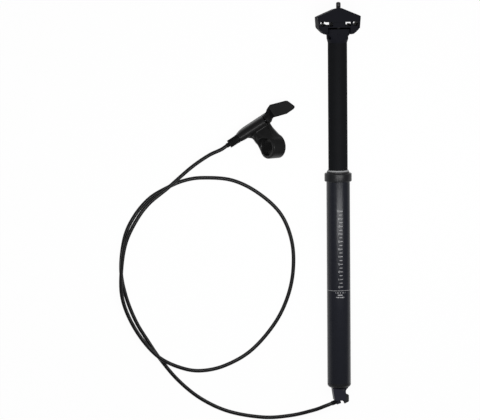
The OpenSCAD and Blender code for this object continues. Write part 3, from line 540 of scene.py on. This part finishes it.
# %% [markdown]
# At the foot of the post a small crank turns the wire's pull into a push on the valve. Its end is a forged
# block, flat on the outside and drawn out into a toe under the wire. The CAD crank has a plain round end,
# so a copy of it is cut flat and gets the toe, and then goes through the same rebuilding, which joins the
# two without a seam. The toe ends short of the ferrule, because it swings towards it when the lever is
# pressed.

# %% Block and toe of the crank
BLOCK_SIDE_X = 12.6
CRANK_HALF_T = 2.3
# Corners of the toe from the wire's anchor: along the wire, away from the ferrule, and down across it
TOE = ((-4.3, 2.5), (-4.3, 6.3), (1.6, 5.7), (3.4, 1.5))
wire_right = -foot_direction
wire_down = Vector((math.sin(WIRE_ANGLE), -math.cos(WIRE_ANGLE), 0))
forging = bmesh.new()
forging.from_mesh(nodes["actuator_crank"].data)
bmesh.ops.remove_doubles(forging, verts=forging.verts, dist=WELD_DISTANCE)
cut = bmesh.ops.bisect_plane(forging, geom=forging.verts[:] + forging.edges[:] + forging.faces[:],
    plane_co=(BLOCK_SIDE_X * MM, 0, 0), plane_no=(1, 0, 0), clear_outer=True)
rim = [item for item in cut["geom_cut"] if isinstance(item, bmesh.types.BMEdge)]
bmesh.ops.holes_fill(forging, edges=rim)
toe = [forging.verts.new((wire_anchor + u * wire_right + v * wire_down + Vector((0, 0, z))) * MM)
    for u, v in TOE for z in (-CRANK_HALF_T, CRANK_HALF_T)]
bmesh.ops.convex_hull(forging, input=toe)
crank_blank = bpy.data.meshes.new("crank_blank")
forging.to_mesh(crank_blank)
forging.free()
casting("actuator_crank", "crank_forging", "crank", cell=0.25, rounds=6, blank=crank_blank)

# %% [markdown]
# ## The printed scale
# A rider reads off how deep the post sits in the frame, so the front of the tube carries a printed scale: a
# short mark every 5 mm, a long one with a number every 10 mm, and a ring where the tube must not come out
# further. Each stroke is a thin curved slab that wraps round the tube, half of it sunk in the wall, so it
# has no loose edge.

# %% Strokes wrapped round the tube
TUBE_RADIUS = 15.45
PRINT_T = 0.04
print_mesh = bmesh.new()


def stroke(x0, y0, x1, y1, steps=4):
    inner, outer = TUBE_RADIUS - PRINT_T, TUBE_RADIUS + PRINT_T
    rings = []
    for i in range(steps + 1):
        angle = (x0 + (x1 - x0) * i / steps) / TUBE_RADIUS
        corners = [(r * math.sin(angle) * MM, y * MM, r * math.cos(angle) * MM)
            for y, r in ((y0, inner), (y1, inner), (y1, outer), (y0, outer))]
        rings.append([print_mesh.verts.new(corner) for corner in corners])
    for before, after in zip(rings, rings[1:]):
        for k in range(len(before)):
            above = (k + 1) % len(before)
            print_mesh.faces.new((before[k], after[k], after[above], before[above]))
    print_mesh.faces.new(rings[0])
    print_mesh.faces.new(rings[-1][::-1])


print("strokes", 2 * PRINT_T, "mm thick")

# %% [markdown]
# A digit is drawn like the numeral of a pocket calculator, from the bars that it needs out of seven. In
# BARS they stand in this order: top, upper left, upper right, middle, lower left, lower right, bottom.

# %% Digits
BARS = {"0": "1110111", "1": "0010010", "2": "1011101", "3": "1011011", "4": "0111010", "5": "1101011",
    "6": "1101111", "7": "1010010", "8": "1111111", "9": "1111011"}
DIGIT_W, DIGIT_H, PEN = 1.5, 2.6, 0.36
DIGIT_STEPS = 2


def digit(value, x, y):
    w, h, p = DIGIT_W, DIGIT_H, PEN
    middle = h / 2
    places = [(0, h - p, w, h), (0, middle, p, h), (w - p, middle, w, h),
        (0, middle - p / 2, w, middle + p / 2),
        (0, 0, p, middle), (w - p, 0, w, middle), (0, 0, w, p)]
    for drawn, (x0, y0, x1, y1) in zip(BARS[value], places):
        if drawn == "1":
            stroke(x + x0, y + y0, x + x1, y + y1, steps=DIGIT_STEPS)


print(len(BARS), "digits")

# %% Marks, numbers and ring
SCALE_TOP, SCALE_STEP, SCALE_MARKS = -38.6, 5.0, 21
LINE_H = 0.8
LONG_MARK, SHORT_MARK = (-0.1, 3.1), (-1.4, 2.6)
FIRST_NUMBER = 20
NUMBER_X, DIGIT_GAP = -4.0, 0.4
for count in range(SCALE_MARKS):
    y = SCALE_TOP - count * SCALE_STEP
    numbered = count % 2 == 0
    start, end = LONG_MARK if numbered else SHORT_MARK
    stroke(start, y, end, y + LINE_H)
    if numbered:
        for place, value in enumerate(str(FIRST_NUMBER - count // 2)):
            digit(value, NUMBER_X + place * (DIGIT_W + DIGIT_GAP), y - DIGIT_H / 2 + LINE_H / 2)

RING_Y, RING_H, RING_STEPS = -143.5, 0.5, 64
RING_SHARE = 0.97
RING_HALF = RING_SHARE * math.pi * TUBE_RADIUS
stroke(-RING_HALF, RING_Y, RING_HALF, RING_Y + RING_H, steps=RING_STEPS)
ROW_ENDS = ((-6.8, 6.4), (-3.9, 2.4), (-6.0, 4.9))
ROW_DROP, ROW_H, ROW_STEP = 1.9, 1.3, 3.0
for row, (start, end) in enumerate(ROW_ENDS):
    row_top = RING_Y - ROW_DROP - ROW_STEP * row
    stroke(start, row_top - ROW_H, end, row_top)
scale_mesh = bpy.data.meshes.new("scale_print")
print_mesh.to_mesh(scale_mesh)
print_mesh.free()
scale = bpy.data.objects.new("scale_print", scale_mesh)
bpy.context.scene.collection.objects.link(scale)
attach(scale, "outer_post")
print("scale of", len(scale_mesh.polygons), "faces")

# %% [markdown]
# The ink is a flat grey that clamps and hands have worn thin in places, so its colour and gloss follow a
# fine noise.

# %% Worn ink
WEAR_SCALE, WEAR_DETAIL = 900.0, 4.0
INK_ROUGHNESS, INK_WANDER, INK_SPECULAR = 0.5, 0.2, 0.3
ink = Finish(bpy.data.materials.new("scale_ink"))
ink_place = ink.node("TexCoord", output="Object")
worn = ink.node("TexNoise", None, {"Vector": ink_place, "Scale": WEAR_SCALE, "Detail": WEAR_DETAIL})
ink_surface = ink.node("BsdfPrincipled", None, {
    "Base Color": ink.mix(worn, (0.20, 0.20, 0.205), (0.42, 0.42, 0.43)),
    "Roughness": INK_ROUGHNESS + (worn - NOISE_MIDDLE) * INK_WANDER,
    "Specular IOR Level": INK_SPECULAR})
ink.node("OutputMaterial", None, {"Surface": ink_surface})
scale_mesh.materials.append(ink.owner)
print("ink on the scale")

# %% [markdown]
# ## Last update
# The view layer is brought up to date, so that every dressed piece stands at its place.

# %% Update of the view layer
bpy.context.view_layer.update()
